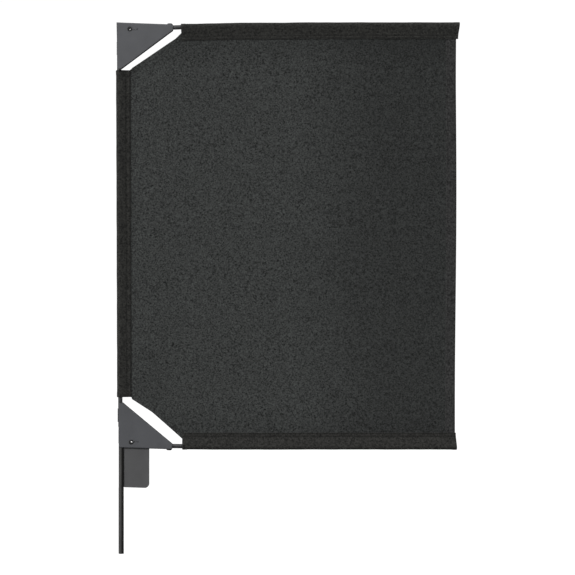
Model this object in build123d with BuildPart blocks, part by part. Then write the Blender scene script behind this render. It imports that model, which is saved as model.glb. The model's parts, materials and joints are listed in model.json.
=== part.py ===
"""Folding light flag: a black cloth cover on a C-shaped rod frame with two folding arms and a grip pin.

Units are millimetres. +Z is up the post, +X runs along the open arms and the front faces -Y. The origin
is on the grip pin's axis, where its plain length starts above the rounded tip. The upper arm turns in a
plane in front of the post and the lower arm in a plane behind it, so both can fold flat beside the post.
"""

from build123d import *
from math import cos, radians, sin, tan
import os

os.makedirs("parts", exist_ok=True)

# Bar stock and sheet
pin_radius = 9.525 / 2
rod_radius = 7.94 / 2
sheet = 1.0
tab_sheet = 3.0

# Post and pin
pin_top = 225.0
pin_tip_round = 1.2
pin_plain = 116.5
pin_root_radius = 4.55
post_top = 937.0
post_foot_x = -1.4
post_lean = 0.19

# Arms: plane offset from the post, reach and the flattened eye at the root
arm_offset = 7.6
eye_radius = 6.5
eye_thickness = 4.0
eye_flat = 14.0
eye_taper = 10.0
upper_pivot = (16.0, 933.0)
upper_slope = 2.3
upper_run = 91.3
upper_bend = 3700.0
upper_tip_x = 599.0
lower_pivot = (18.2, 198.1)
lower_slope = -7.0
lower_run = 45.0
lower_bend = 340.0
lower_tip_x = 595.4
cap_radius = 4.35
cap_length = 18.0
cap_end = 1.6

# Pivot rivets
rivet_radius = 3.0
rivet_bore = 1.75
rivet_flange_radius = 3.9
rivet_flange = 0.7
pivot_clearance = 0.08
spacer_radius = 4.4
spacer_play = 0.15

# Brackets: pocket from the arm side to the post side, fold radius, pressed rib and stop rivet
pocket_arm_side = 11.9
pocket_post_side = 4.9
fold_radius = 2.0
rib_length = 9.4
rib_width = 4.4
rib_height = 0.8
rib_slope = 0.8
rib_from_pivot = 9.3
stop_head_radius = 4.8
stop_head_height = 2.2
stop_shank_radius = 2.0
stop_tail = 0.3
stop_from_tip = 5.4

# Bracket outlines, walked from the outer corner: outer tip, inner tip, tail beside the post
upper_corner = (-7.5, 945.0)
upper_tip = (92.4, 941.3)
upper_tip_inner = (92.4, 931.4)
upper_tail_inner = (0.6, 863.0)
upper_tail_outer = (-6.0, 863.0)
lower_corner = (-4.1, 188.1)
lower_tip = (90.6, 185.1)
lower_tip_inner = (90.6, 194.6)
lower_tail_inner = (2.4, 268.0)
lower_tail_outer = (-4.8, 268.0)

# Grip tab
tab_gap = 1.1
tab_right = 50.1
tab_bottom = 117.3
tab_slope_drop = 1.4
tab_corner = 8.0

# Cloth cover
cloth = 0.9
sleeve_radius = 5.8
sleeve_neck = 10.0
arm_seam_gap = 1.0
arm_flap = 24.0
upper_sleeve_start = 107.2
upper_sleeve_end = 602.3
lower_sleeve_start = 108.4
lower_sleeve_end = 598.7
post_flap = 20.0
post_seam_gap = 1.6
post_sleeve_bottom = 278.0
post_sleeve_top = 861.0
strip_inset = 1.0
strip_width = 8.0
panel_thickness = 1.0
seam_clearance = 0.4
right_edge = 596.6
hem_width = 18.0
hem_thickness = 2.0
binding_drop = 11.0
upper_cut_start = (106.8, 925.7)
upper_cut_knee = (97.5, 916.5)
upper_cut_end_z = 864.5
lower_cut_start = (108.0, 203.6)
lower_cut_knee = (54.9, 251.0)
lower_cut_end_z = 274.6


def post_x(z):
    """X of the leaning post's axis at height z."""
    return post_foot_x - (z - pin_top) * tan(radians(post_lean))


def along(start, slope, distance):
    """Point at a distance from start, along a line with that slope in degrees."""
    return (start[0] + distance * cos(radians(slope)), start[1] + distance * sin(radians(slope)))


def arm_plane(side):
    """Vertical plane of an arm: side 1 is in front of the post, -1 behind it."""
    return Plane.XZ.offset(side * arm_offset)


def bent_line(side, pivot, slope, run, bend, tip_x, start):
    """Axis of an arm rod from a start distance: straight, a long arc, then level to the tip."""
    with BuildLine(arm_plane(side)) as axis:
        knee = along(pivot, slope, run)
        heading = (cos(radians(slope)), sin(radians(slope)))
        if start < run:
            Line(along(pivot, slope, start), knee)
        arc = JernArc(start=knee, tangent=heading, radius=bend, arc_size=-slope)
        end = arm_plane(side).to_local_coords(arc @ 1)
        Line((end.X, end.Y), (tip_x, end.Y))
    return axis.line


def level_of(pivot, slope, run, bend):
    """Height of an arm's axis along its level stretch."""
    knee = along(pivot, slope, run)
    rise = bend * (1 - cos(radians(slope)))
    return knee[1] + (rise if slope > 0 else -rise)


def make_arm(side, pivot, slope, run, bend, tip_x):
    """Arm rod with its root pressed flat into an eye that turns on the pivot rivet."""
    plane = arm_plane(side)
    root = eye_flat + eye_taper
    axis = bent_line(side, pivot, slope, run, bend, tip_x, root)
    heading = (cos(radians(slope)), 0, sin(radians(slope)))
    across = (-sin(radians(slope)), 0, cos(radians(slope)))
    with BuildPart() as arm:
        with BuildSketch(Plane(origin=axis @ 0, x_dir=across, z_dir=heading)):
            Circle(rod_radius)
        sweep(path=axis)
        flat_end = along(pivot, slope, eye_flat)
        flat_origin = (flat_end[0], -side * arm_offset, flat_end[1])
        with BuildSketch(Plane(origin=flat_origin, x_dir=across, z_dir=heading)):
            RectangleRounded(2 * eye_radius, eye_thickness, 1.2)
        with BuildSketch(Plane(origin=axis @ 0, x_dir=across, z_dir=heading)):
            Circle(rod_radius)
        loft()
        middle = along(pivot, slope, eye_flat / 2)
        with BuildSketch(plane):
            with Locations(pivot):
                Circle(eye_radius)
            with Locations(middle):
                Rectangle(eye_flat, 2 * eye_radius, rotation=slope)
            with Locations(pivot):
                Circle(rivet_radius + pivot_clearance, mode=Mode.SUBTRACT)
        extrude(amount=eye_thickness / 2, both=True)
    return arm.part


def make_cap(side, tip_x, level):
    """Vinyl cap pushed over an arm's tip."""
    back = tip_x - cap_length
    with BuildPart() as cap:
        with BuildSketch(Plane(origin=(back, -side * arm_offset, level), z_dir=(1, 0, 0))):
            Circle(cap_radius)
        extrude(amount=cap_length + cap_end)
        fillet(cap.edges().sort_by(Axis.X)[-1], radius=cap_end)
        with BuildSketch(Plane(origin=(back, -side * arm_offset, level), z_dir=(1, 0, 0))):
            Circle(rod_radius)
        extrude(amount=cap_length, mode=Mode.SUBTRACT)
    return cap.part


def pocket_span(side):
    """Y of the pocket's two walls, front first."""
    walls = (-side * pocket_arm_side, side * pocket_post_side)
    return min(walls), max(walls)


def make_bracket(side, corner, tip, tip_inner, tail_inner, tail_outer, pivot):
    """Folded sheet bracket: two triangular cheeks joined by a spine along the outer edge."""
    front, back = pocket_span(side)
    middle = Plane.XZ.offset(-(front + back) / 2)
    half = (back - front) / 2
    inward = -side * sheet
    with BuildPart() as bracket:
        with BuildSketch(middle):
            with BuildLine():
                Polyline(corner, tip, tip_inner, tail_inner, tail_outer, close=True)
            make_face()
        extrude(amount=half + sheet, both=True)
        spine = bracket.faces().sort_by(Axis.Z)[-1 if side > 0 else 0]
        long_edges = spine.edges().sort_by(SortBy.LENGTH)[-2:]
        fillet(long_edges, radius=fold_radius)
        with BuildSketch(middle):
            with BuildLine():
                Polyline(
                    (corner[0] - 30, corner[1] + inward + 30 * (corner[1] - tip[1]) / (tip[0] - corner[0])),
                    (tip[0] + 30, tip[1] + inward - 30 * (corner[1] - tip[1]) / (tip[0] - corner[0])),
                    (tip[0] + 30, tip[1] - side * 120),
                    (corner[0] - 30, corner[1] - side * 120),
                    close=True,
                )
            make_face()
        extrude(amount=half, both=True, mode=Mode.SUBTRACT)
        with BuildSketch(middle):
            with Locations(pivot):
                Circle(rivet_radius)
        extrude(amount=half + 2 * sheet, both=True, mode=Mode.SUBTRACT)
        rib_centre = (pivot[0] + rib_from_pivot, pivot[1])
        outer_front = Plane.XZ.offset(-front + sheet)
        inner_front = Plane.XZ.offset(-front)
        shown, hidden = (Mode.ADD, Mode.SUBTRACT) if side > 0 else (Mode.SUBTRACT, Mode.ADD)
        hidden_inset = 2 * sheet if side > 0 else 0
        for rise, inset in ((0, 0), (side * rib_height, 2 * rib_slope)):
            with BuildSketch(outer_front.offset(rise)):
                with Locations(rib_centre):
                    SlotOverall(rib_length - inset, rib_width - inset)
        loft(ruled=True, mode=shown)
        with BuildSketch(inner_front):
            with Locations(rib_centre):
                SlotOverall(rib_length - hidden_inset, rib_width - hidden_inset)
        extrude(amount=side * rib_height, mode=hidden)
    return bracket.part


def make_pivot_rivet(side, pivot):
    """Hollow rivet through both cheeks, rolled over at both ends."""
    front, back = pocket_span(side)
    start = Plane.XZ.offset(-back - sheet - rivet_flange)
    length = back - front + 2 * sheet + 2 * rivet_flange
    with BuildPart() as rivet:
        with BuildSketch(start):
            with Locations(pivot):
                Circle(rivet_radius)
        extrude(amount=length)
        with BuildSketch(start, start.offset(length - rivet_flange)):
            with Locations(pivot):
                Circle(rivet_flange_radius)
        extrude(amount=rivet_flange)
        rims = rivet.faces().filter_by(Axis.Y).sort_by(Axis.Y)
        fillet([rims[0].edges()[0], rims[-1].edges()[0]], radius=rivet_flange / 2)
        with BuildSketch(start):
            with Locations(pivot):
                Circle(rivet_bore)
        extrude(amount=length, mode=Mode.SUBTRACT)
    return rivet.part


def make_spacers(side, pivot):
    """Two tubular spacers that hold the arm's eye in its plane between the cheeks."""
    front, back = pocket_span(side)
    eye_front = -side * arm_offset - eye_thickness / 2 - spacer_play
    eye_back = -side * arm_offset + eye_thickness / 2 + spacer_play
    with BuildPart() as spacers:
        for near, far in ((front, eye_front), (eye_back, back)):
            with BuildSketch(Plane.XZ.offset(-far)):
                with Locations(pivot):
                    Circle(spacer_radius)
                    Circle(rivet_radius, mode=Mode.SUBTRACT)
            extrude(amount=far - near)
    return spacers.part


def make_stop_rivet(side, corner, tip):
    """Domed rivet through the spine near the bracket's tip."""
    fall = (tip[1] - corner[1]) / (tip[0] - corner[0])
    x = tip[0] - stop_from_tip
    z = tip[1] - stop_from_tip * fall
    front, back = pocket_span(side)
    seat = Plane(origin=(x, (front + back) / 2, z), x_dir=(0, 1, 0), z_dir=(-side * fall, 0, side))
    with BuildPart() as rivet:
        with BuildSketch(seat):
            Circle(stop_head_radius)
        extrude(amount=stop_head_height)
        fillet(rivet.edges().sort_by(Axis.Z)[-1 if side > 0 else 0], radius=0.8 * stop_head_height)
        with BuildSketch(seat):
            Circle(stop_shank_radius)
        extrude(amount=-(sheet + stop_tail))
    return rivet.part


def drill_for(bracket, *pieces):
    """Bracket with the space of the pieces that pass through it cut away."""
    with BuildPart() as drilled:
        add(bracket)
        for piece in pieces:
            add(piece, mode=Mode.SUBTRACT)
    return drilled.part


def hairpin(plane, flap, gap):
    """Section of a cloth sleeve: a wrap round the rod with two legs that meet the seam."""
    outer = sleeve_radius
    inner = sleeve_radius - cloth
    near = gap / 2
    far = near + cloth
    neck = sleeve_neck
    with BuildSketch(plane) as section:
        with BuildLine():
            ThreePointArc((0, -outer), (-outer, 0), (0, outer))
            Polyline((0, outer), (neck, far), (flap, far), (flap, near), (neck, near), (0, inner))
            ThreePointArc((0, inner), (-inner, 0), (0, -inner))
            Polyline((0, -inner), (neck, -near), (flap, -near), (flap, -far), (neck, -far), (0, -outer))
        make_face()
    return section.sketch


# Grip pin, the interface to a grip head; its root is a little thinner where the welds are
with BuildPart() as grip_pin:
    with BuildSketch(Plane.XY.offset(-pin_tip_round)):
        Circle(pin_radius)
    extrude(amount=pin_plain + pin_tip_round)
    with BuildSketch(Plane.XY.offset(pin_plain)):
        Circle(pin_root_radius)
    extrude(amount=pin_top - pin_plain)
    fillet(grip_pin.edges().sort_by(Axis.Z)[0], radius=pin_tip_round)
    chamfer(grip_pin.edges().sort_by(Axis.Z)[-1], length=0.8)

# Post rod, butted on the pin inside the lower bracket
post_axis = (-sin(radians(post_lean)), 0, cos(radians(post_lean)))
with BuildPart() as post_rod:
    with BuildSketch(Plane(origin=(post_foot_x, 0, pin_top + 0.1), z_dir=post_axis)):
        Circle(rod_radius)
    extrude(amount=post_top - pin_top)

# Arms and their caps
upper_arm = make_arm(1, upper_pivot, upper_slope, upper_run, upper_bend, upper_tip_x)
lower_arm = make_arm(-1, lower_pivot, lower_slope, lower_run, lower_bend, lower_tip_x)
upper_level = level_of(upper_pivot, upper_slope, upper_run, upper_bend)
lower_level = level_of(lower_pivot, lower_slope, lower_run, lower_bend)
upper_cap = make_cap(1, upper_tip_x, upper_level)
lower_cap = make_cap(-1, lower_tip_x, lower_level)

# Pivot hardware
upper_rivet = make_pivot_rivet(1, upper_pivot)
lower_rivet = make_pivot_rivet(-1, lower_pivot)
upper_spacers = make_spacers(1, upper_pivot)
lower_spacers = make_spacers(-1, lower_pivot)
upper_stop = make_stop_rivet(1, upper_corner, upper_tip)
lower_stop = make_stop_rivet(-1, lower_corner, lower_tip)

# Brackets
upper_sheet = make_bracket(
    1, upper_corner, upper_tip, upper_tip_inner, upper_tail_inner, upper_tail_outer, upper_pivot
)
lower_sheet = make_bracket(
    -1, lower_corner, lower_tip, lower_tip_inner, lower_tail_inner, lower_tail_outer, lower_pivot
)
upper_bracket = drill_for(upper_sheet, upper_stop)
lower_bracket = drill_for(lower_sheet, lower_stop, grip_pin.part)

# Grip tab, welded beside the pin under the lower bracket
tab_left = pin_radius + tab_gap
spine_fall = (lower_corner[1] - lower_tip[1]) / (lower_tip[0] - lower_corner[0])
with BuildPart() as grip_tab:
    with BuildSketch(Plane.XZ):
        with BuildLine():
            Polyline(
                (tab_left, lower_corner[1] - (tab_left - lower_corner[0]) * spine_fall),
                (tab_right, lower_corner[1] - (tab_right - lower_corner[0]) * spine_fall),
                (tab_right, tab_bottom - tab_slope_drop),
                (tab_left, tab_bottom),
                close=True,
            )
        tab_face = make_face()
        fillet(tab_face.vertices().sort_by(Axis.Y)[0], radius=tab_corner)
    extrude(amount=tab_sheet / 2, both=True)

# Weld metal that joins post and pin to the brackets' cheeks and the tab to the pin
weld_depth = 2.4
weld_half_width = 4.6
weld_length = 24.0
tab_weld = (1.6, 1.8, 70.0)
tab_weld_height = 152.5
with BuildPart() as post_welds:
    for height, side, x in ((900.0, 1, post_x(900.0)), (246.0, -1, post_x(246.0)), (208.0, -1, 0.0)):
        weld_y = side * (weld_depth + pocket_post_side) / 2
        with Locations((x, weld_y, height)):
            Box(2 * weld_half_width, pocket_post_side - weld_depth, weld_length)
    with Locations((tab_left - tab_weld[0] / 2, 0, tab_weld_height)):
        Box(*tab_weld)
    add(post_rod.part, mode=Mode.SUBTRACT)
    add(grip_pin.part, mode=Mode.SUBTRACT)

# Sleeves on the arms
with BuildPart() as upper_sleeve:
    sleeve_line = bent_line(1, upper_pivot, upper_slope, upper_run, upper_bend, upper_sleeve_end, upper_run)
    upper_start = Plane(origin=sleeve_line @ 0, x_dir=(0, 0, -1), z_dir=sleeve_line % 0)
    sweep(sections=hairpin(upper_start, arm_flap, arm_seam_gap), path=sleeve_line)

with BuildPart() as lower_sleeve:
    lower_origin = (lower_sleeve_start, arm_offset, lower_level)
    lower_start = Plane(origin=lower_origin, x_dir=(0, 0, 1), z_dir=(1, 0, 0))
    extrude(hairpin(lower_start, arm_flap, arm_seam_gap), amount=lower_sleeve_end - lower_sleeve_start)

# Sleeve on the post, closed by hook and loop between its legs
sleeve_length = (post_sleeve_top - post_sleeve_bottom) / cos(radians(post_lean))
sleeve_origin = (post_x(post_sleeve_bottom), 0, post_sleeve_bottom)
post_across = (cos(radians(post_lean)), 0, sin(radians(post_lean)))
sleeve_base = Plane(origin=sleeve_origin, x_dir=post_across, z_dir=post_axis)
with BuildPart() as post_sleeve:
    extrude(hairpin(sleeve_base, post_flap, post_seam_gap), amount=sleeve_length)

strips = {}
for strip_name, strip_side in (("hook_strip", -1), ("loop_strip", 1)):
    with BuildPart() as strip:
        with BuildSketch(sleeve_base.offset(strip_inset)):
            with Locations((post_flap - strip_inset - strip_width / 2, strip_side * post_seam_gap / 4)):
                Rectangle(strip_width, post_seam_gap / 2)
        extrude(amount=sleeve_length - 2 * strip_inset)
    strips[strip_name] = strip.part

# Cloth panel in the slanting plane from the upper arm to the lower arm
bend_start = along(upper_pivot, upper_slope, upper_run)
bend_end_x = bend_start[0] + upper_bend * sin(radians(upper_slope))
panel_top = upper_level - arm_flap - seam_clearance
panel_top_at_bend = bend_start[1] - arm_flap - seam_clearance
panel_bottom = lower_level + arm_flap + seam_clearance
panel_slant = 2 * arm_offset / (upper_level - lower_level)
cloth_middle = (upper_level + lower_level) / 2
cloth_plane = Plane(origin=(0, 0, cloth_middle), x_dir=(1, 0, 0), z_dir=(0, -1, -panel_slant))


def on_cloth(x, z):
    """Place of a front-view point in the cloth plane's own coordinates."""
    return (x, (z - cloth_middle) * (1 + panel_slant**2) ** 0.5)


def cut_line(side, start, knee, end, inset):
    """Corner cut from the sleeve to the post, moved into the cloth by a vertical inset."""
    return [on_cloth(x, z - side * inset) for x, z in (start, knee, end)]


def make_binding(side, start, knee, end):
    """Folded tape along one cut corner of the cloth."""
    with BuildPart() as binding:
        with BuildSketch(cloth_plane):
            with BuildLine():
                outer_edge = cut_line(side, start, knee, end, 0)
                inner_edge = cut_line(side, start, knee, end, binding_drop)
                Polyline(*outer_edge, *reversed(inner_edge), close=True)
            make_face()
        extrude(amount=hem_thickness / 2, both=True)
    return binding.part


panel_left = post_x(post_sleeve_bottom) + post_flap + seam_clearance
hem_left = right_edge - hem_width
panel_right = hem_left - seam_clearance
upper_cut = (upper_cut_start, upper_cut_knee, (panel_left, upper_cut_end_z))
lower_cut = (lower_cut_start, lower_cut_knee, (panel_left, lower_cut_end_z))
upper_binding = make_binding(1, *upper_cut)
lower_binding = make_binding(-1, *lower_cut)

with BuildPart() as flag_panel:
    with BuildSketch(cloth_plane):
        with BuildLine():
            Polyline(
                *cut_line(-1, *lower_cut, binding_drop + seam_clearance),
                *reversed(cut_line(1, *upper_cut, binding_drop + seam_clearance)),
                on_cloth(upper_sleeve_start, panel_top_at_bend),
                on_cloth(bend_end_x, panel_top),
                on_cloth(panel_right, panel_top),
                on_cloth(panel_right, panel_bottom),
                on_cloth(lower_sleeve_start, panel_bottom),
                close=True,
            )
        make_face()
    extrude(amount=panel_thickness / 2, both=True)

with BuildPart() as right_hem:
    with BuildSketch(cloth_plane):
        with BuildLine():
            Polyline(
                on_cloth(hem_left, panel_bottom),
                on_cloth(right_edge, panel_bottom),
                on_cloth(right_edge, panel_top),
                on_cloth(hem_left, panel_top),
                close=True,
            )
        make_face()
    extrude(amount=hem_thickness / 2, both=True)

pieces = {
    "grip_pin": grip_pin.part,
    "grip_tab": grip_tab.part,
    "post_rod": post_rod.part,
    "post_welds": post_welds.part,
    "upper_bracket": upper_bracket,
    "lower_bracket": lower_bracket,
    "upper_pivot_rivet": upper_rivet,
    "lower_pivot_rivet": lower_rivet,
    "upper_pivot_spacers": upper_spacers,
    "lower_pivot_spacers": lower_spacers,
    "upper_stop_rivet": upper_stop,
    "lower_stop_rivet": lower_stop,
    "upper_arm_rod": upper_arm,
    "lower_arm_rod": lower_arm,
    "upper_tip_cap": upper_cap,
    "lower_tip_cap": lower_cap,
    "upper_sleeve": upper_sleeve.part,
    "lower_sleeve": lower_sleeve.part,
    "post_sleeve": post_sleeve.part,
    "hook_strip": strips["hook_strip"],
    "loop_strip": strips["loop_strip"],
    "flag_panel": flag_panel.part,
    "right_hem": right_hem.part,
    "upper_corner_binding": upper_binding,
    "lower_corner_binding": lower_binding,
}
for name, piece in pieces.items():
    piece.label = name
    export_step(piece, f"parts/{name}.step")
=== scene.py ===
import bpy
import json
from math import cos, hypot, pi, radians, sin, sqrt, tan
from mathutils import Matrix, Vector


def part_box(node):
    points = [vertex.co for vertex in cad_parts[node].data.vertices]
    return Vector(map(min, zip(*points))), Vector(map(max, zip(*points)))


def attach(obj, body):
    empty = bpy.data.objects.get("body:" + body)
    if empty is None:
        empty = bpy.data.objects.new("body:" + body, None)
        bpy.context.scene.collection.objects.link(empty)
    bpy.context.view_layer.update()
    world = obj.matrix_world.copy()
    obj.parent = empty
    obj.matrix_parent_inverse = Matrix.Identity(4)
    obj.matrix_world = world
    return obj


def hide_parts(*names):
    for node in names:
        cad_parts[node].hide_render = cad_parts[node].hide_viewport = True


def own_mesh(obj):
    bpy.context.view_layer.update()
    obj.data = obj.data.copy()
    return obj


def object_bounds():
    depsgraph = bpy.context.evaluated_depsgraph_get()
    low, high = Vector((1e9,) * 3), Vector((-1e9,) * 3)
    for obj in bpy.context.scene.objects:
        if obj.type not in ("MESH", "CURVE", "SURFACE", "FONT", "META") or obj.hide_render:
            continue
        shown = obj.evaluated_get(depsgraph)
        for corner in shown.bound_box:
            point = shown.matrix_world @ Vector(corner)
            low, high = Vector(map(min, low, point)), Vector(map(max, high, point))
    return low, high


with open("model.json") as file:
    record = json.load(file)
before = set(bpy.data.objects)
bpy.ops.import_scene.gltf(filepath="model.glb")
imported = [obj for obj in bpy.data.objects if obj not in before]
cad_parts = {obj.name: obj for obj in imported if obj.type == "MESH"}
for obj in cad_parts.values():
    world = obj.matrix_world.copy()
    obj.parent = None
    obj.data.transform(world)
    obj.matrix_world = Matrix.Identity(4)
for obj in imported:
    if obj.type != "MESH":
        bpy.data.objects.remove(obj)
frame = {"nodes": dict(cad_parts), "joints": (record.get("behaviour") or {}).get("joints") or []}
cad_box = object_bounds()
MM = 0.001

# ---------------------------------------------------------------- places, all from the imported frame
joints = {j["name"]: j for j in frame["joints"]}
upper_pivot = Vector(joints["upper_arm_fold"]["pos_m"])
lower_pivot = Vector(joints["lower_arm_fold"]["pos_m"])
upper_y, lower_y = upper_pivot.y, lower_pivot.y
upper_low, upper_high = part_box("upper_sleeve")
lower_low, lower_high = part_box("lower_sleeve")
post_low, post_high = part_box("post_sleeve")
panel_low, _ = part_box("flag_panel")
hem_low, hem_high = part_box("right_hem")

CLOTH = 0.9 * MM
SLEEVE_RADIUS = (upper_high.y - upper_low.y) / 2
WRAP = SLEEVE_RADIUS - CLOTH / 2
NECK = 16.5 * MM
ARM_FLAP = 24.0 * MM
POST_FLAP = 20.0 * MM
UPPER_SLOPE = radians(2.3)
UPPER_RUN = 91.3 * MM
UPPER_BEND = 3.7
POST_LEAN = radians(0.19)

knee_x = upper_pivot.x + UPPER_RUN * cos(UPPER_SLOPE)
knee_z = upper_pivot.z + UPPER_RUN * sin(UPPER_SLOPE)
level_x = knee_x + UPPER_BEND * sin(UPPER_SLOPE)
upper_level = knee_z + UPPER_BEND * (1 - cos(UPPER_SLOPE))
lower_level = (lower_high.z + lower_low.z - ARM_FLAP + SLEEVE_RADIUS) / 2
UPPER_SEAM = upper_level - ARM_FLAP
LOWER_SEAM = lower_level + ARM_FLAP
post_foot = Vector((post_low.x + SLEEVE_RADIUS + (post_high.z - post_low.z) * tan(POST_LEAN), 0, post_low.z))


def upper_axis(x):
    """Height of the upper arm's axis at x."""
    if x >= level_x:
        return upper_level
    return upper_level - UPPER_BEND + sqrt(UPPER_BEND**2 - (level_x - x) ** 2)


def post_x(z):
    """X of the post's axis at height z."""
    return post_foot.x - (z - post_foot.z) * tan(POST_LEAN)


def smooth(t):
    """0 below 0, 1 above 1, and eased between."""
    t = min(max(t, 0.0), 1.0)
    return t * t * (3 - 2 * t)


def drift(a, b, seed):
    """Slow uneven wave between about -1 and 1, the same on every run."""
    s = 0.7 * seed
    return (
        0.45 * sin(a * 1.0 + b * 0.63 + s)
        + 0.30 * sin(a * 1.9 - b * 1.31 + 2.1 * s + 0.8)
        + 0.25 * sin(a * 3.3 + b * 2.70 + 3.7 * s + 2.2)
    )


# ---------------------------------------------------------------- materials
def material(name):
    """New node material: returns it with its tree, its shader and object-space coordinates."""
    made = bpy.data.materials.new(name)
    made.use_nodes = True
    tree = made.node_tree
    shader = next(n for n in tree.nodes if n.type == "BSDF_PRINCIPLED")
    coords = tree.nodes.new("ShaderNodeTexCoord").outputs["Object"]
    return made, tree, shader, coords


def node(tree, kind, inputs=None, **settings):
    """Node of that kind with its properties and inputs set; an input may be a value or another socket."""
    n = tree.nodes.new(kind)
    for key, value in settings.items():
        setattr(n, key, value)
    for key, value in (inputs or {}).items():
        if isinstance(value, bpy.types.NodeSocket):
            tree.links.new(value, n.inputs[key])
        else:
            n.inputs[key].default_value = value
    return n


def math(tree, operation, *values):
    return node(tree, "ShaderNodeMath", dict(enumerate(values)), operation=operation).outputs[0]


def ramp(tree, value, low, high, to_low=0.0, to_high=1.0):
    """Value mapped from low..high to to_low..to_high."""
    inputs = {"Value": value, "From Min": low, "From Max": high, "To Min": to_low, "To Max": to_high}
    return node(tree, "ShaderNodeMapRange", inputs).outputs[0]


def noise(tree, coords, scale, detail=2.0, rough=0.5, stretch=None):
    if stretch is not None:
        coords = node(tree, "ShaderNodeMapping", {"Vector": coords, "Scale": stretch}).outputs[0]
    inputs = {"Vector": coords, "Scale": scale, "Detail": detail, "Roughness": rough}
    return node(tree, "ShaderNodeTexNoise", inputs).outputs["Fac"]


def tint(tree, value, dark, light):
    """Colour between dark and light by value."""
    n = node(tree, "ShaderNodeMix", {"Factor": value}, data_type="RGBA")
    n.inputs[6].default_value = (*dark, 1)
    n.inputs[7].default_value = (*light, 1)
    return n.outputs[2]


def shades(colour, share):
    return [tuple(c * s for c in colour) for s in (1 - share, 1 + share)]


def bump(tree, shader, height, distance, strength=1.0, base=None):
    inputs = {"Height": height, "Distance": distance, "Strength": strength}
    if base is not None:
        inputs["Normal"] = base
    out = node(tree, "ShaderNodeBump", inputs).outputs[0]
    tree.links.new(out, shader.inputs["Normal"])
    return out


def fabric(name, colour, thread, speckle, grain, sheen, twill=False, darkening=None):
    """Woven cloth: two sets of threads from the metre-scaled UV map, flecked yarn, slubs and a little fuzz.

    Painted shade darkens the cloth beside each row of stitches, read from a float attribute; an optional mask
    darkens it further, painted shade included.
    """
    made, tree, shader, coords = material(name)
    uv = node(tree, "ShaderNodeUVMap", uv_map="weave").outputs[0]
    waves = []
    for direction in ("X", "DIAGONAL" if twill else "Y"):
        inputs = {"Vector": uv, "Scale": 2 * pi / 20 / thread, "Distortion": 0.6}
        waves.append(node(tree, "ShaderNodeTexWave", inputs, bands_direction=direction).outputs["Fac"])
    weave = math(tree, "MULTIPLY", *waves)
    fleck = node(tree, "ShaderNodeTexVoronoi", {"Vector": coords, "Scale": 1 / grain}).outputs["Color"]
    fleck = node(tree, "ShaderNodeSeparateColor", {"Color": fleck}).outputs[0]
    fine = noise(tree, coords, 0.8 / grain, 3.0, 0.65)
    broad = noise(tree, coords, 9.0, 3.0, 0.55)
    slub = noise(tree, uv, 160.0, 2.0, 0.5, (0.12, 2.4, 1.0))
    parts = ((fleck, 0.50), (ramp(tree, fine, 0.40, 0.60), 0.42), (broad, 0.04), (slub, 0.04))
    mottle = None
    for part, share in parts:
        part = math(tree, "MULTIPLY", part, share)
        mottle = part if mottle is None else math(tree, "ADD", mottle, part)
    dark, light = shades(colour, speckle)
    base = tint(tree, mottle, dark, light)
    shade = ramp(tree, weave, 0.0, 1.0, 0.82, 1.12)
    # Painted shade beside rows of stitches: the cloth is darker there.
    seam_shade = node(tree, "ShaderNodeAttribute", attribute_name="seam_shade").outputs["Fac"]
    shade = math(tree, "MULTIPLY", shade, ramp(tree, seam_shade, 0.0, 1.0, 1.0, 0.62))
    # An optional mask darkens the cloth; the panel's mask includes painted shade along its seams.
    if darkening is not None:
        shade = math(tree, "MULTIPLY", shade, darkening(tree, coords))
    toned = node(tree, "ShaderNodeVectorMath", {0: base, "Scale": shade}, operation="SCALE").outputs[0]
    tree.links.new(toned, shader.inputs["Base Color"])
    tree.links.new(ramp(tree, fine, 0.3, 0.7, 0.78, 0.95), shader.inputs["Roughness"])
    height = math(tree, "ADD", weave, math(tree, "MULTIPLY", fine, 0.7))
    bump(tree, shader, height, 0.00022, 0.5)
    shader.inputs["Specular IOR Level"].default_value = 0.18
    shader.inputs["Sheen Weight"].default_value = sheen
    shader.inputs["Sheen Roughness"].default_value = 0.55
    return made


def eased(tree, value, low, high, to_low, to_high):
    """Value mapped from low..high to to_low..to_high with soft ends."""
    inputs = {"Value": value, "From Min": low, "From Max": high, "To Min": to_low, "To Max": to_high}
    return node(tree, "ShaderNodeMapRange", inputs, interpolation_type="SMOOTHSTEP").outputs[0]


def panel_darkening_and_seam_shade(tree, coords):
    """The cloth is darker over its free third, and painted shade darkens it a little towards its top and
    bottom seams.
    """
    parts = node(tree, "ShaderNodeSeparateXYZ", {"Vector": coords}).outputs
    wander = ramp(tree, noise(tree, coords, 5.0, 2.0, 0.5), 0.3, 0.7, -0.02, 0.02)
    across = math(tree, "ADD", parts["X"], wander)
    # Darker over the cloth's free third.
    free = eased(tree, across, 0.27, 0.50, 1.0, 0.67)
    # Painted shade: darker towards the top and bottom seams.
    top = eased(tree, parts["Z"], UPPER_SEAM - 0.065, UPPER_SEAM, 1.0, 0.82)
    low = eased(tree, parts["Z"], LOWER_SEAM, LOWER_SEAM + 0.05, 0.88, 1.0)
    return math(tree, "MULTIPLY", free, math(tree, "MULTIPLY", top, low))


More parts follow.
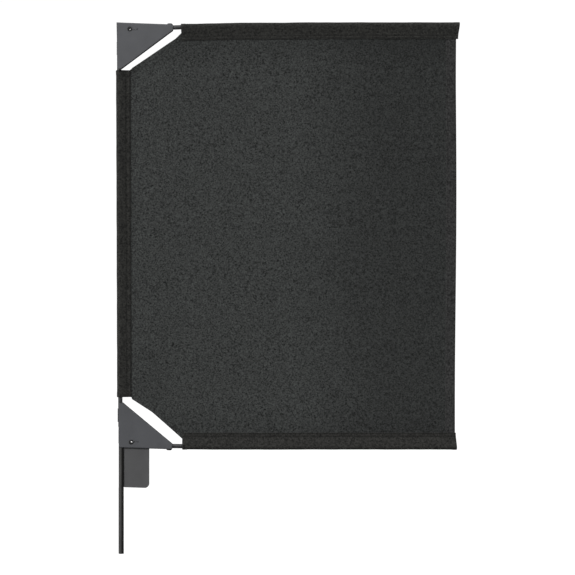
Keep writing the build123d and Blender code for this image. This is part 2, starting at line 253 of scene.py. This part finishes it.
def painted(name, colour, rough, wear=0.5, peel=1.0):
    """Black powder coat: orange-peel skin, handling marks, a thinner coat along edges and painted shade in
    creases.
    """
    made, tree, shader, coords = material(name)
    peel_noise = noise(tree, coords, 780.0, 2.0, 0.5)
    cloud = noise(tree, coords, 26.0, 4.0, 0.6)
    rubs = noise(tree, coords, 95.0, 5.0, 0.7, (1.0, 1.0, 0.35))
    soft = node(tree, "ShaderNodeBevel", {"Radius": 0.0009}, samples=4).outputs[0]
    hard = node(tree, "ShaderNodeNewGeometry").outputs["Normal"]
    flat = node(tree, "ShaderNodeVectorMath", {0: soft, 1: hard}, operation="DOT_PRODUCT").outputs["Value"]
    edge = math(tree, "MULTIPLY", ramp(tree, flat, 0.99, 0.84), ramp(tree, rubs, 0.42, 0.62))
    edge = math(tree, "MULTIPLY", edge, wear)
    dark, light = shades(colour, 0.22)
    base = tint(tree, cloud, dark, light)
    # Painted shade: ambient occlusion darkens the coat's colour in creases and recesses.
    crease = node(tree, "ShaderNodeAmbientOcclusion", {"Distance": 0.0030}, samples=8).outputs["AO"]
    base = node(tree, "ShaderNodeVectorMath", {0: base, "Scale": ramp(tree, crease, 0.60, 0.98, 0.08, 1.0)},
                operation="SCALE").outputs[0]
    worn = node(tree, "ShaderNodeMix", {"Factor": edge, 6: base}, data_type="RGBA")
    worn.inputs[7].default_value = (0.16, 0.16, 0.165, 1)
    tree.links.new(worn.outputs[2], shader.inputs["Base Color"])
    gloss = math(tree, "ADD", ramp(tree, rubs, 0.35, 0.7, rough - 0.04, rough + 0.09),
                 math(tree, "MULTIPLY", edge, -0.12))
    tree.links.new(gloss, shader.inputs["Roughness"])
    bump(tree, shader, peel_noise, 0.00006 * peel, 0.5)
    return made


def turned_steel(name, colour, rough, metal, ring=1.0):
    """Drawn or turned steel: fine rings across the axis, lengthwise handling marks, small dull spots."""
    made, tree, shader, coords = material(name)
    rings = noise(tree, coords, 420.0, 3.0, 0.6, (0.08, 0.08, 3.2))
    marks = noise(tree, coords, 240.0, 3.0, 0.6, (2.0, 2.0, 0.05))
    spots = noise(tree, coords, 55.0, 4.0, 0.6)
    dark, light = shades(colour, 0.3)
    tree.links.new(tint(tree, spots, dark, light), shader.inputs["Base Color"])
    tree.links.new(ramp(tree, marks, 0.35, 0.7, rough - 0.05, rough + 0.12), shader.inputs["Roughness"])
    height = math(tree, "ADD", math(tree, "MULTIPLY", rings, ring), math(tree, "MULTIPLY", marks, 0.5))
    bump(tree, shader, height, 0.00005, 0.45)
    shader.inputs["Metallic"].default_value = metal
    return made


def polymer(name, colour, rough, fine_scale, height):
    """Moulded plastic or vinyl: fine mould texture, dusty mottling and varied gloss."""
    made, tree, shader, coords = material(name)
    grit = noise(tree, coords, fine_scale, 2.0, 0.55)
    dust = noise(tree, coords, 60.0, 4.0, 0.6)
    dark, light = shades(colour, 0.25)
    tree.links.new(tint(tree, dust, dark, light), shader.inputs["Base Color"])
    tree.links.new(ramp(tree, dust, 0.3, 0.7, rough - 0.06, rough + 0.1), shader.inputs["Roughness"])
    bump(tree, shader, grit, height, 0.6)
    return made


# The panel's mask darkens its free third and paints shade along its top and bottom seams.
panel_mat = fabric("flag_cloth_weave", (0.0380, 0.0405, 0.0393), 0.00075, 0.97, 0.0021, 0.04, darkening=panel_darkening_and_seam_shade)
tape_mat = fabric("sleeve_cloth_twill", (0.0238, 0.0238, 0.0219), 0.0006, 0.90, 0.0024, 0.03, twill=True)
hem_mat = fabric("hem_cloth_weave", (0.0292, 0.0293, 0.0291), 0.00075, 0.92, 0.0024, 0.04)
thread_mat = fabric("sewing_thread", (0.012, 0.012, 0.012), 0.0004, 0.30, 0.0006, 0.05)
hook_mat = polymer("hook_nylon", (0.02, 0.02, 0.022), 0.42, 2400.0, 0.00004)
loop_mat = fabric("loop_pile", (0.025, 0.025, 0.025), 0.0005, 0.45, 0.0007, 0.30)
coat_mat = painted("satin_powder_coat", (0.0555, 0.0575, 0.0635), 0.40)
tab_mat = painted("tab_powder_coat", (0.057, 0.057, 0.059), 0.40)
rod_mat = painted("rod_paint", (0.030, 0.030, 0.032), 0.30, wear=0.35, peel=0.6)
# The weld's coat is darker than the rest as painted shade for the groove between pin and tab.
weld_mat = painted("weld_coat_painted_shade", (0.018, 0.018, 0.020), 0.45, wear=0.5)
pin_mat = turned_steel("blackened_pin_steel", (0.085, 0.084, 0.082), 0.30, 1.0)
# Blackened rivet steel, darkened further as painted shade for the shadowed ring round the rivet heads.
rivet_mat = turned_steel("blackened_rivet_steel_painted_shade", (0.010, 0.010, 0.011), 0.42, 0.6, 0.4)
nylon_mat = polymer("black_nylon", (0.030, 0.030, 0.030), 0.45, 1800.0, 0.00003)
vinyl_mat = polymer("soft_vinyl_cap", (0.028, 0.028, 0.028), 0.38, 900.0, 0.00005)

node_material = {
    "grip_pin": pin_mat, "grip_tab": tab_mat, "post_rod": rod_mat, "post_welds": weld_mat,
    "upper_bracket": coat_mat, "lower_bracket": coat_mat,
    "upper_pivot_rivet": rivet_mat, "lower_pivot_rivet": rivet_mat,
    "upper_pivot_spacers": nylon_mat, "lower_pivot_spacers": nylon_mat,
    "upper_stop_rivet": rivet_mat, "lower_stop_rivet": rivet_mat,
    "upper_arm_rod": rod_mat, "lower_arm_rod": rod_mat,
    "upper_tip_cap": vinyl_mat, "lower_tip_cap": vinyl_mat,
}
for name, finish in node_material.items():
    mesh = frame["nodes"][name].data
    mesh.materials.clear()
    mesh.materials.append(finish)


# ---------------------------------------------------------------- mesh helpers
def piece(name, verts, faces, finish, body, uvs=None, crease=40, seam_shade=None):
    """Mesh object that rides a body.

    uvs holds a metre-scaled pair for each vertex, and seam how near it is to a row of stitches, which the
    cloth's material paints as shade.
    """
    mesh = bpy.data.meshes.new(name)
    mesh.from_pydata([tuple(v) for v in verts], [], faces)
    if uvs is not None:
        layer = mesh.uv_layers.new(name="weave")
        for loop in mesh.loops:
            layer.data[loop.index].uv = uvs[loop.vertex_index]
    if seam_shade is not None:
        mesh.attributes.new("seam_shade", "FLOAT", "POINT").data.foreach_set("value", seam_shade)
    mesh.validate()
    mesh.polygons.foreach_set("use_smooth", [True] * len(mesh.polygons))
    mesh.set_sharp_from_angle(angle=radians(crease))
    mesh.materials.append(finish)
    made = bpy.data.objects.new(name, mesh)
    bpy.context.scene.collection.objects.link(made)
    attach(made, body)
    return made


def ring_faces(rings, size):
    """Quads between rings of size points whose second half runs back beside the first, with closed ends."""
    faces = []
    for r in range(rings - 1):
        for k in range(size):
            n = (k + 1) % size
            faces.append((r * size + k, r * size + n, (r + 1) * size + n, (r + 1) * size + k))
    last = (rings - 1) * size
    for k in range(size // 2 - 1):
        faces.append((k + 1, k, size - 1 - k, size - 2 - k))
        faces.append((last + k, last + k + 1, last + size - 2 - k, last + size - 1 - k))
    return faces


SEAM_REACH = 1.6 * MM
SEAM_DEPTH = 0.10 * MM
END_HEM = 7.5 * MM
END_HEM_RISE = 0.22 * MM
END_LIP = 0.3 * MM
SKEW_RUN = 30 * MM


def sleeve_section(flap, gap, breathe, pinches, sway, droop):
    """Centre line of a sleeve's section as (u, v): u runs from the rod into the cloth, v across it."""
    leg = gap / 2 + CLOTH / 2
    points = []
    neck = min(NECK, flap - 4 * MM)
    for k in range(25):
        u = flap - (flap - neck) * k / 24
        v = leg + max(breathe, 0) * 0.5 * sin(pi * k / 24)
        for at in pinches:
            v += SEAM_DEPTH * (1 - near(u, at))
        points.append((u, v))
    for k in range(1, 13):
        t = 1 - k / 13
        u = neck * t
        points.append((u, leg + (WRAP + breathe - leg) * (0.7 * (1 - t) + 0.15 * (1 + cos(pi * t)))))
    for k in range(9):
        a = pi / 2 + pi / 2 * k / 8
        points.append(((WRAP + breathe + droop) * cos(a), (WRAP + breathe) * sin(a)))
    points += [(u, -v) for u, v in reversed(points[:-1])]
    return [(u, v + sway * smooth(u / flap)) for u, v in points]


def near(u, at):
    """1 on a row of stitches, falling to 0 beside it."""
    return max(0.0, 1 - ((u - at) / SEAM_REACH) ** 2)


def thicken(points, half):
    """Outer and inner side of an open line, half away from it, as one closed ring."""
    outer, inner = [], []
    for k, (u, v) in enumerate(points):
        (a, b), (c, d) = points[max(k - 1, 0)], points[min(k + 1, len(points) - 1)]
        size = hypot(c - a, d - b)
        nu, nv = (b - d) / size, (c - a) / size
        outer.append((u - nu * half, v - nv * half))
        inner.append((u + nu * half, v + nv * half))
    return outer + inner[::-1]


def make_sleeve(name, places, flap, gap, pinches, body, wander, skew=(0.0, 0.0), droop=0.0):
    """Sewn cloth sleeve along places of (distance, origin, inward, across); both ends are turned hems.

    skew gives how far the far end runs past the last place at the wrap, and at the flap's edge; droop is how
    far the cloth hangs off the rod.
    """
    verts, uvs, seam_shade = [], [], []
    total = places[-1][0]
    heading = (places[-1][1] - places[-2][1]).normalized()
    for s, origin, inward, across in places:
        end = min(s, total - s)
        hem = END_HEM_RISE * (1 - smooth((end - END_HEM) / 0.0015))
        lip = END_LIP * (1 - smooth(end / 0.0012))
        breathe = 0.00016 * drift(s * 62, 0.0, wander) + hem * 0.5 - lip
        sway = 0.00022 * drift(s * 41, 1.0, wander + 3) * smooth(end / 0.03)
        loose = droop * (0.45 + 0.55 * smooth((s - 0.01) / 0.08) * (1 - 0.6 * smooth((s - 0.16) / 0.10)))
        section = sleeve_section(flap, gap, breathe, pinches, sway, loose)
        ring = thicken(section, CLOTH / 2 + hem - lip)
        arc = [0.0]
        for p, q in zip(section, section[1:]):
            arc.append(arc[-1] + hypot(q[0] - p[0], q[1] - p[1]))
        arc += arc[::-1]
        at_end = smooth(1 - (total - s) / SKEW_RUN)
        for (u, v), a in zip(ring, arc):
            slide = skew[0] + (skew[1] - skew[0]) * smooth((u + WRAP) / (flap + WRAP))
            verts.append(origin + inward * u + across * v + heading * (slide * at_end))
            uvs.append((s, a))
            # Nearness to a row of stitches, painted as shade by the cloth's material.
            seam_shade.append(max(near(u, at) for at in pinches))
    size = len(ring)
    return piece(name, verts, ring_faces(len(places), size), tape_mat, body, uvs, seam_shade=seam_shade)


COARSE_STEP = 4.5 * MM
FINE_STEP = 1.0 * MM
FINE_RUN = 11.0 * MM


def stations(station, total):
    """Stations along a sleeve, closer together near both ends, where the cloth is turned."""
    at = [0.0]
    while at[-1] < total - 1e-9:
        close = min(at[-1], total - at[-1]) < FINE_RUN
        at.append(min(at[-1] + (FINE_STEP if close else COARSE_STEP), total))
    return [station(s) for s in at]


# ---------------------------------------------------------------- sleeves
UPPER_SAG = 0.6 * MM
SAG_START = 107 * MM
SAG_END = 335 * MM


def upper_station(s):
    x = upper_low.x + s
    slope = (level_x - x) / UPPER_BEND if x < level_x else 0.0
    along = Vector((cos(slope), 0, sin(slope)))
    sag = UPPER_SAG * smooth((x - SAG_START) / 0.03) * smooth((SAG_END - x) / 0.05)
    origin = Vector((x, upper_y, upper_axis(x) - sag))
    return s, origin, Vector((along.z, 0, -along.x)), Vector((0, 1, 0))


def lower_station(s):
    return s, Vector((lower_low.x + s, lower_y, lower_level)), Vector((0, 0, 1)), Vector((0, -1, 0))


post_up = Vector((-sin(POST_LEAN), 0, cos(POST_LEAN)))
post_out = Vector((cos(POST_LEAN), 0, sin(POST_LEAN)))


def post_station(s):
    return s, post_foot + post_up * s, post_out, Vector((0, 1, 0))


ARM_GAP = 1.0 * MM
POST_GAP = 1.6 * MM
ARM_SEAM = 17.8 * MM
ARM_EDGE_SEAM = 22.4 * MM
POST_SEAM = 11.6 * MM
POST_EDGE_SEAM = 18.6 * MM
UPPER_SKEW = (0.8 * MM, -2.1 * MM)
LOWER_SKEW = (0.4 * MM, -1.7 * MM)
LOWER_DROOP = 0.6 * MM
arm_seams = (ARM_SEAM, ARM_EDGE_SEAM)
post_seams = (POST_SEAM, POST_EDGE_SEAM)
upper_length = upper_high.x - upper_low.x
lower_length = lower_high.x - lower_low.x
post_length = (post_high.z - post_low.z) / cos(POST_LEAN) - 0.0004
upper_sleeve = make_sleeve("upper_arm_sleeve", stations(upper_station, upper_length),
                           ARM_FLAP, ARM_GAP, arm_seams, "upper_arm", 1, skew=UPPER_SKEW)
lower_sleeve = make_sleeve("lower_arm_sleeve", stations(lower_station, lower_length),
                           ARM_FLAP, ARM_GAP, arm_seams, "lower_arm", 5, skew=LOWER_SKEW, droop=LOWER_DROOP)
post_sleeve = make_sleeve("post_wrap_sleeve", stations(post_station, post_length),
                          POST_FLAP, POST_GAP, post_seams, "frame", 9)
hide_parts("upper_sleeve")
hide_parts("lower_sleeve")
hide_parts("post_sleeve")


# ---------------------------------------------------------------- the cloth's own surface
TUCK = 8.0 * MM
EDGE_TUCK = 0.9 * MM
cut_left = panel_low.x
UPPER_CUT = [(cut_left, 0.8645), (0.0975, 0.9165), (0.1068, 0.9257)]
LOWER_CUT = [(cut_left, 0.2746), (0.0549, 0.2510), (0.1080, 0.2036)]
BINDING_DROP = 11.0 * MM
CUT_EDGE = 1.6 * MM
SPLIT_LEFT = 0.590
split_right = (hem_low.x + 0.0004, LOWER_SEAM)
PANEL_HALF = 0.4 * MM


def on_line(points, x):
    """Height at x of a line through points, carried on straight past its ends."""
    for (a, b), (c, d) in zip(points, points[1:]):
        if x <= c or (c, d) == points[-1]:
            return b + (d - b) * (x - a) / (c - a)


def left_edge(z):
    return post_x(z) + POST_FLAP - EDGE_TUCK


def top_of(x):
    if x <= upper_low.x:
        return on_line(UPPER_CUT, x) - CUT_EDGE
    return upper_axis(x) - ARM_FLAP + TUCK


def bottom_of(x):
    if x <= lower_low.x:
        return on_line(LOWER_CUT, x) + CUT_EDGE
    return lower_level + ARM_FLAP - TUCK


def split_at(x):
    """Height of the line where the two halves of the cloth meet."""
    x0 = left_edge(SPLIT_LEFT)
    return SPLIT_LEFT + (split_right[1] - SPLIT_LEFT) * (x - x0) / (split_right[0] - x0)


def cloth_y(x, z):
    """Depth of the cloth: from one arm's plane down to the other's, level with the post at its edge."""
    t = min(max((UPPER_SEAM - z) / (UPPER_SEAM - LOWER_SEAM), 0.0), 1.0)
    slanted = upper_y + (lower_y - upper_y) * t
    free = smooth((x - cut_left) / 0.075)
    inside = smooth((UPPER_SEAM - z) / 0.05) * smooth((z - LOWER_SEAM) / 0.05) * smooth((0.578 - x) / 0.05)
    wave = 0.00045 * drift(x * 13.0, z * 9.0, 2.0) + 0.00012 * drift(x * 60.0, z * 37.0, 4.0)
    return slanted * free + wave * inside * free


PANEL_RIGHT = hem_high.x - 4 * MM
PANEL_STEP = 4.8 * MM
PANEL_ROWS = 110


def parting(x):
    """Lower edge of the upper half of the cloth, which is the upper edge of the lower half."""
    return max(split_at(x), bottom_of(x))


def make_panel(name, upper, body):
    """One half of the cloth on the shared line between them, front and back, closed round its edges."""
    first = left_edge(SPLIT_LEFT)
    xs = [first + PANEL_STEP * k for k in range(200) if first + PANEL_STEP * k < PANEL_RIGHT - 2 * MM]
    extra = [upper_low.x - 0.0006, upper_low.x + 0.0004, lower_low.x - 0.0006, lower_low.x + 0.0004,
             UPPER_CUT[1][0], LOWER_CUT[1][0], split_right[0]]
    xs = sorted([x for x in xs if all(abs(x - e) > 0.0012 for e in extra)] + extra + [PANEL_RIGHT])
    rows = PANEL_ROWS
    verts, uvs = [], []

    def add(x, z, side):
        y = cloth_y(x, z)
        verts.append((x, y - side * PANEL_HALF, z))
        uvs.append((x, z))
        return len(verts) - 1

    grid = []
    for x in xs:
        if not upper and x > split_right[0] + 1e-9:
            break
        low, high = (parting(x), top_of(x)) if upper else (bottom_of(x), parting(x))
        column = []
        for j in range(rows + 1):
            z = low + (high - low) * j / rows
            shifted = x + (left_edge(z) - first) * max(0.0, 1 - (x - first) / 0.03)
            column.append((shifted, z))
        grid.append(column)
    faces = []
    sides = []
    for side in (1, -1):
        index = [[add(x, z, side) for x, z in column] for column in grid]
        sides.append(index)
        for i in range(len(index) - 1):
            for j in range(rows):
                quad = (index[i][j], index[i + 1][j], index[i + 1][j + 1], index[i][j + 1])
                faces.append(quad if side == 1 else quad[::-1])
    f, b = sides
    n = len(grid)
    rim = [(i, 0) for i in range(n)] + [(n - 1, j) for j in range(1, rows + 1)]
    rim += [(i, rows) for i in range(n - 2, -1, -1)] + [(0, j) for j in range(rows - 1, 0, -1)]
    for (i, j), (k, m) in zip(rim, rim[1:] + rim[:1]):
        faces.append((f[i][j], b[i][j], b[k][m], f[k][m]))
    return piece(name, verts, faces, panel_mat, body, uvs, crease=60)


upper_half = make_panel("flag_cloth_upper", True, "upper_arm")
lower_half = make_panel("flag_cloth_lower", False, "lower_arm")
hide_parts("flag_panel")
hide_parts("flag_panel")


# ---------------------------------------------------------------- folded bands: right hem and corner bindings
def make_band(name, edges, half, finish, body, pucker=0.00008):
    """Folded tape along (outer edge point, inner edge point, share of its half thickness)."""
    profile = [(0.0, 0.0), (0.012, 0.42), (0.035, 0.72), (0.07, 0.92), (0.12, 1.0), (0.3, 1.0), (0.5, 1.0),
               (0.68, 0.97), (0.78, 0.9), (0.86, 0.97), (0.94, 0.95), (0.985, 0.84), (1.0, 0.55)]
    verts, uvs = [], []
    run = 0.0
    for i, (outer, inner, share_of_half) in enumerate(edges):
        if i:
            last = edges[i - 1][0]
            run += hypot(outer[0] - last[0], outer[1] - last[1])
        ring = []
        for side in (1, -1):
            for share, thick in profile if side == 1 else profile[::-1]:
                x = outer[0] + (inner[0] - outer[0]) * share
                z = outer[1] + (inner[1] - outer[1]) * share
                swell = pucker * drift(run * 260, share * 3, 6) * smooth(share * 3)
                t = max(half * share_of_half * thick + (swell if thick > 0.6 else 0), 0.00001)
                ring.append((x, cloth_y(x, z) - side * t, z))
                uvs.append((run, share * hypot(inner[0] - outer[0], inner[1] - outer[1])))
        verts += ring
    return piece(name, verts, ring_faces(len(edges), 2 * len(profile)), finish, body, uvs, crease=50)


def steps(a, b, size):
    n = max(1, round(abs(b - a) / size))
    return [a + (b - a) * k / n for k in range(n + 1)]


HEM_HALF = 0.92 * MM
HEM_BOW = 1.1 * MM
HEM_BOW_LENGTH = 0.72
HEM_BOW_START = 0.45


def hem_edge(z):
    """X of the hem's folded edge, which bows out and in by about a millimetre and is straight at the top."""
    bow = HEM_BOW * sin(2 * pi * (z - HEM_BOW_START) / HEM_BOW_LENGTH)
    return hem_high.x + bow * smooth((UPPER_SEAM - z) / 0.12)


hem_edges = [((hem_edge(z), z), (hem_low.x + 0.3 * (hem_edge(z) - hem_high.x), z), 1.0)
             for z in steps(hem_low.z - 0.004, hem_high.z + 0.004, 0.004)]
right_hem = make_band("right_hem_band", hem_edges, HEM_HALF, hem_mat, "upper_arm")
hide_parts("right_hem")


def cut_edges(cut, side):
    out = []
    for (a, b), (c, d) in zip(cut, cut[1:]):
        for x in steps(a, c, 0.004)[:-1]:
            z = b + (d - b) * (x - a) / (c - a)
            out.append(((x, z), (x, z - side * BINDING_DROP), 1.0))
    x, z = cut[-1]
    slope = (z - cut[-2][1]) / (x - cut[-2][0])
    for run, thick in ((0.0, 1.0), (0.0006, 0.45), (0.0036, 0.45)):
        edge = z + slope * run
        out.append(((x + run, edge), (x + run, edge - side * BINDING_DROP), thick))
    return out


CORNER_HALF = 0.85 * MM
upper_binding = make_band("upper_corner_hem", cut_edges(UPPER_CUT, 1), CORNER_HALF, panel_mat, "upper_arm")
lower_binding = make_band("lower_corner_hem", cut_edges(LOWER_CUT, -1), CORNER_HALF, panel_mat, "lower_arm")
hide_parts("upper_corner_binding")
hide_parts("lower_corner_binding")


# ---------------------------------------------------------------- sewing thread
def make_stitches(name, stitches, radius, body):
    """Sewn thread: each stitch is (start, end, outward) and rises out of the cloth between its two holes."""
    verts, faces = [], []
    shape = [(0.0, -0.9, 0.55), (0.14, 0.15, 0.9), (0.5, 0.45, 1.0), (0.86, 0.15, 0.9), (1.0, -0.9, 0.55)]
    around = 6
    for start, end, outward in stitches:
        along = (end - start).normalized()
        side = along.cross(outward).normalized()
        base = len(verts)
        for share, lift, thick in shape:
            centre = start.lerp(end, share) + outward * (radius * lift)
            for k in range(around):
                a = 2 * pi * k / around
                verts.append(centre + (side * cos(a) + outward * sin(a)) * radius * thick)
        for r in range(len(shape) - 1):
            for k in range(around):
                n = (k + 1) % around
                faces.append((base + r * around + k, base + r * around + n,
                              base + (r + 1) * around + n, base + (r + 1) * around + k))
        faces.append(tuple(base + k for k in reversed(range(around))))
        faces.append(tuple(base + (len(shape) - 1) * around + k for k in range(around)))
    return piece(name, verts, faces, thread_mat, body, [(v[0], v[2]) for v in verts])


def seam_row(point, start, end, pitch, length):
    """Stitches along point(s) from start to end; point gives the place on the cloth and its outward side."""
    count = int((end - start) / pitch)
    out = []
    for k in range(count):
        s = start + (k + 0.5) * pitch
        a, outward = point(s - length / 2)
        b, _ = point(s + length / 2)
        out.append((a, b, outward))
    return out


STITCH_PITCH = 3.4 * MM
STITCH = 2.7 * MM
THREAD = 0.21 * MM


def on_sleeve(station, u, gap, front):
    """Places along a sleeve's flap at u, on its front or back leg's outer face."""
    def point(s):
        _, origin, inward, across = station(s)
        outward = across * front
        return origin + inward * u + outward * (gap / 2 + CLOTH - 0.0001), outward
    return point


END_ROW = 6.4 * MM
END_ROW_START = 12.5 * MM


def sleeve_stitches(name, station, rows, gap, length, body):
    out = []
    for u in rows:
        for front in (1, -1):
            out += seam_row(on_sleeve(station, u, gap, front), 0.002, length - 0.002, STITCH_PITCH, STITCH)
    for front in (1, -1):
        for at in (END_ROW, length - END_ROW):
            for k in range(4):
                _, origin, inward, across = station(at)
                outward = across * front
                u = END_ROW_START + k * STITCH_PITCH
                start = origin + inward * u + outward * (gap / 2 + CLOTH + 0.00008)
                if u + STITCH < rows[-1] + 0.001:
                    out.append((start, start + inward * STITCH, outward))
    return make_stitches(name, out, THREAD, body)


upper_thread = sleeve_stitches("upper_sleeve_stitching", upper_station, (ARM_SEAM, ARM_EDGE_SEAM), ARM_GAP,
                               upper_length, "upper_arm")
lower_thread = sleeve_stitches("lower_sleeve_stitching", lower_station, (ARM_SEAM, ARM_EDGE_SEAM), ARM_GAP,
                               lower_length, "lower_arm")
post_thread = sleeve_stitches("post_sleeve_stitching", post_station, (POST_SEAM, POST_EDGE_SEAM), POST_GAP,
                              post_length, "frame")


def on_cloth(x, z, lift, front):
    return Vector((x, cloth_y(x, z) - front * lift, z)), Vector((0, -front, 0))


HEM_ROWS = (2.6 * MM, 15.0 * MM)


def band_stitches(front):
    out = []
    for inset in HEM_ROWS:
        out += seam_row(lambda z: on_cloth(hem_edge(z) - inset, z, HEM_HALF * 0.93, front),
                        hem_low.z, hem_high.z, STITCH_PITCH, STITCH)
    return out


hem_thread = make_stitches("right_hem_stitching", band_stitches(1) + band_stitches(-1), THREAD, "upper_arm")


OVERCAST_PITCH = 4.2 * MM
OVERCAST_INSET = 6.2 * MM
OVERCAST_LIFT = 0.78 * MM


def overcast(cut, side):
    """Slanting overcast stitches inside a corner hem, front and back."""
    out = []
    for (a, b), (c, d) in zip(cut, cut[1:]):
        length = hypot(c - a, d - b)
        t = Vector((c - a, 0, d - b)) / length
        n = Vector((t.z, 0, -t.x)) * side
        for k in range(int(length / OVERCAST_PITCH)):
            for front in (1, -1):
                p = Vector((a, 0, b)) + t * (0.003 + k * OVERCAST_PITCH) + n * OVERCAST_INSET
                q = p + n * 0.0024 + t * 0.0009
                first, outward = on_cloth(p.x, p.z, OVERCAST_LIFT, front)
                second, _ = on_cloth(q.x, q.z, OVERCAST_LIFT, front)
                out.append((first, second, outward))
    return out


upper_cut_thread = make_stitches("upper_corner_stitching", overcast(UPPER_CUT, 1), THREAD * 1.3, "upper_arm")
lower_cut_thread = make_stitches("lower_corner_stitching", overcast(LOWER_CUT, -1), THREAD * 1.3, "lower_arm")


# ---------------------------------------------------------------- hook and loop tapes inside the post sleeve
TAPE_WIDTH = 8.0 * MM
TUFT_PITCH = 2.1 * MM
TUFT_RADIUS = 0.22 * MM


def make_tape(node_name, side, finish, tufts):
    """Woven backing with rows of small hooks or loops that meet between the sleeve's legs."""
    low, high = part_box(node_name)
    verts, faces, uvs = [], [], []
    length = high.z - low.z
    width = TAPE_WIDTH
    inner_u = (low.x + high.x) / 2 - post_x((low.z + high.z) / 2) - width / 2
    floor_v, top_v = side * 0.00078, side * 0.00042

    def add(s, u, v):
        verts.append(post_foot + post_up * s + post_out * u + Vector((0, v, 0)))
        uvs.append((s, u))
        return len(verts) - 1

    s0 = 0.001
    ring = []
    count = 60
    for k in range(count + 1):
        s = s0 + (length - 0.0004) * k / count
        ring.append([add(s, inner_u, floor_v), add(s, inner_u + width, floor_v),
                     add(s, inner_u + width, top_v), add(s, inner_u, top_v)])
    for a, b in zip(ring, ring[1:]):
        for k in range(4):
            n = (k + 1) % 4
            faces.append((a[k], a[n], b[n], b[k]))
    faces.append(tuple(ring[0][::-1]))
    faces.append(tuple(ring[-1]))
    for i in range(int((length - 0.003) / TUFT_PITCH)):
        for j in range(tufts):
            s = s0 + 0.0015 + i * TUFT_PITCH
            u = inner_u + 0.0012 + (width - 0.0024) * (j + 0.5 * (i % 2)) / tufts
            r = TUFT_RADIUS
            base = [add(s + r * cos(a), u + r * sin(a), top_v) for a in (0, 2.1, 4.2)]
            tip = [add(s + r * 0.6 * cos(a) + 0.0002, u + r * 0.6 * sin(a), side * 0.00008)
                   for a in (0, 2.1, 4.2)]
            for k in range(3):
                n = (k + 1) % 3
                faces.append((base[k], base[n], tip[n], tip[k]))
            faces.append(tuple(tip))
    tape = piece(node_name + "_tape", verts, faces, finish, "frame", uvs)
    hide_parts(node_name)
    return tape


hook_strip = make_tape("hook_strip", 1, hook_mat, 5)
loop_strip = make_tape("loop_strip", -1, loop_mat, 6)

# ---------------------------------------------------------------- what each cloth was cut to
def cut_size(low_of, high_of, first, last):
    """Outline width and height, and area, of cloth between two edges; stretched, it is as large as cut."""
    xs = steps(first, last, 0.001)
    heights = [high_of(x) - low_of(x) for x in xs]
    area = sum((b - a) * (p + q) / 2 for a, b, p, q in zip(xs, xs[1:], heights, heights[1:]))
    tall = max(high_of(x) for x in xs) - min(low_of(x) for x in xs)
    return (last - first, tall), area


upper_cut_size, upper_cut_area = cut_size(parting, top_of, left_edge(SPLIT_LEFT), PANEL_RIGHT)
lower_cut_size, lower_cut_area = cut_size(bottom_of, parting, left_edge(SPLIT_LEFT), split_right[0])


# ---------------------------------------------------------------- each cloth piece on the folding arms gets its own mesh data
for cloth in (upper_half, right_hem, upper_binding, hem_thread, upper_cut_thread):
    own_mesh(cloth)
for cloth in (lower_half, lower_binding, lower_cut_thread):
    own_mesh(cloth)

# ---------------------------------------------------------------- stage, lights and camera
def white_stage(name, made, glow, tone):
    """Pale stage object: it glows white for the camera and adds no light of its own to the flag."""
    made.name = name
    finish, tree, shader, coords = material(name + "_paper")
    paper = noise(tree, coords, 3.0, 3.0, 0.5)
    tree.links.new(tint(tree, paper, (tone, tone, tone), (tone * 1.1, tone * 1.1, tone * 1.1)),
                   shader.inputs["Base Color"])
    shader.inputs["Roughness"].default_value = 0.9
    shader.inputs["Specular IOR Level"].default_value = 0.0
    shader.inputs["Emission Color"].default_value = (1, 1, 1, 1)
    shader.inputs["Emission Strength"].default_value = glow
    made.data.materials.append(finish)
    made.visible_diffuse = False
    made.visible_glossy = False


bpy.ops.mesh.primitive_plane_add(size=30, location=(0.3, 0, cad_box[0].z - 0.0002))
white_stage("studio_floor", bpy.context.object, 0.88, 0.20)
bpy.ops.mesh.primitive_uv_sphere_add(segments=64, ring_count=32, radius=14, location=(0.3, 0, 0.5))
bpy.context.object.visible_shadow = False
white_stage("studio_backdrop", bpy.context.object, 1.0, 0.05)

world = bpy.data.worlds.new("soft_surround")
bpy.context.scene.world = world
world.use_nodes = True
tree = world.node_tree
toward = node(tree, "ShaderNodeTexCoord").outputs["Generated"]
part = node(tree, "ShaderNodeSeparateXYZ", {"Vector": toward}).outputs
sky = math(tree, "ADD", ramp(tree, part["Z"], -0.6, 0.8, 0.20, 0.78),
           ramp(tree, part["X"], -1.0, 1.0, 0.36, -0.36))
sky = math(tree, "MAXIMUM", sky, 0.02)
sky = node(tree, "ShaderNodeCombineColor", {"Red": sky, "Green": sky, "Blue": sky}).outputs[0]
tree.links.new(sky, tree.nodes["Background"].inputs["Color"])
bpy.context.scene.view_settings.view_transform = "Standard"


def aim(made, place, target):
    made.location = place
    made.rotation_mode = "QUATERNION"
    made.rotation_quaternion = (Vector(target) - Vector(place)).to_track_quat("-Z", "Y")
    bpy.context.scene.collection.objects.link(made)
    made.visible_camera = False


key = bpy.data.lights.new("key_sun", "SUN")
key.energy = 2.12
key.angle = radians(22)
aim(bpy.data.objects.new("key_sun", key), (-0.85, -1.8, 1.00), (0, 0, 0))
strip = bpy.data.lights.new("rim_strip", "AREA")
strip.shape = "RECTANGLE"
strip.size, strip.size_y = 0.5, 1.6
strip.energy = 10
aim(bpy.data.objects.new("rim_strip", strip), (1.3, 1.0, 0.7), (0.02, 0.0, 0.35))

camera = bpy.data.objects.new("camera", bpy.data.cameras.new("camera"))
bpy.context.scene.collection.objects.link(camera)
camera.data.lens = 150
camera.data.sensor_width = 36
camera.data.clip_end = 100
FIELD = 1.0252
distance = FIELD * camera.data.lens / camera.data.sensor_width
camera.location = (0.2965, -distance, 0.4734)
camera.rotation_euler = (radians(90), 0, 0)
bpy.context.scene.camera = camera
